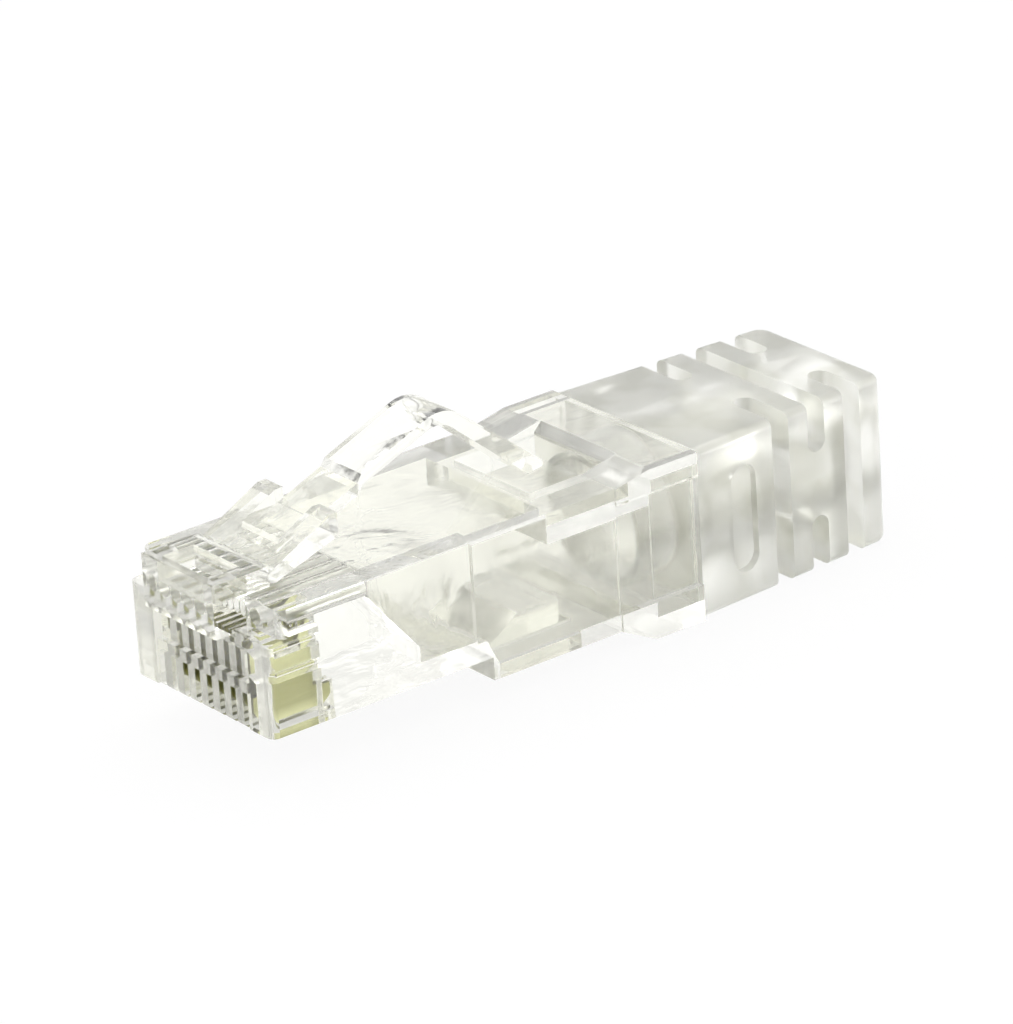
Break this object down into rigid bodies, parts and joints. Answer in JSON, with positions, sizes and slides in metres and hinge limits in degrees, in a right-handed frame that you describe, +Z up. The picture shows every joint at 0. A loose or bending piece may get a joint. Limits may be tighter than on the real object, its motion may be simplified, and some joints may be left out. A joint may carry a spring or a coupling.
{
  "type": "modular plug",
  "caption": "Clear modular network plug with gold-plated contact blades, a back-bent locking latch and a slotted frosted strain relief boot on its collar.",
  "frame": {"origin": "centre of the whole plug's box in plan, at the height of the collar's and the boot's underside", "axes": "+X across the plug, +Y from the contact end towards the cable end, +Z up, towards the latch"},
  "size_m": [0.012, 0.042, 0.0144],
  "materials": {
    "clear_plastic": "clear, polished",
    "frosted_plastic": "frosted, soft satin",
    "gold_plating": "bright thin plating"
  },
  "bodies": {
    "plug_body": {"housing": "clear_plastic", "strain_relief_boot": "frosted_plastic", "contact_1": "gold_plating", "contact_2": "gold_plating", "contact_3": "gold_plating", "contact_4": "gold_plating", "contact_5": "gold_plating", "contact_6": "gold_plating", "contact_7": "gold_plating", "contact_8": "gold_plating"},
    "latch": {"latch_lever": "clear_plastic"}
  },
  "joints": [
    {"name": "latch_press", "type": "hinge", "parent": "plug_body", "child": "latch", "pos_m": [0, -0.01717, 0.00955], "axis": [-1, 0, 0], "range_deg": [0, 4], "stiffness_Nm_per_rad": 0.1}
  ]
}
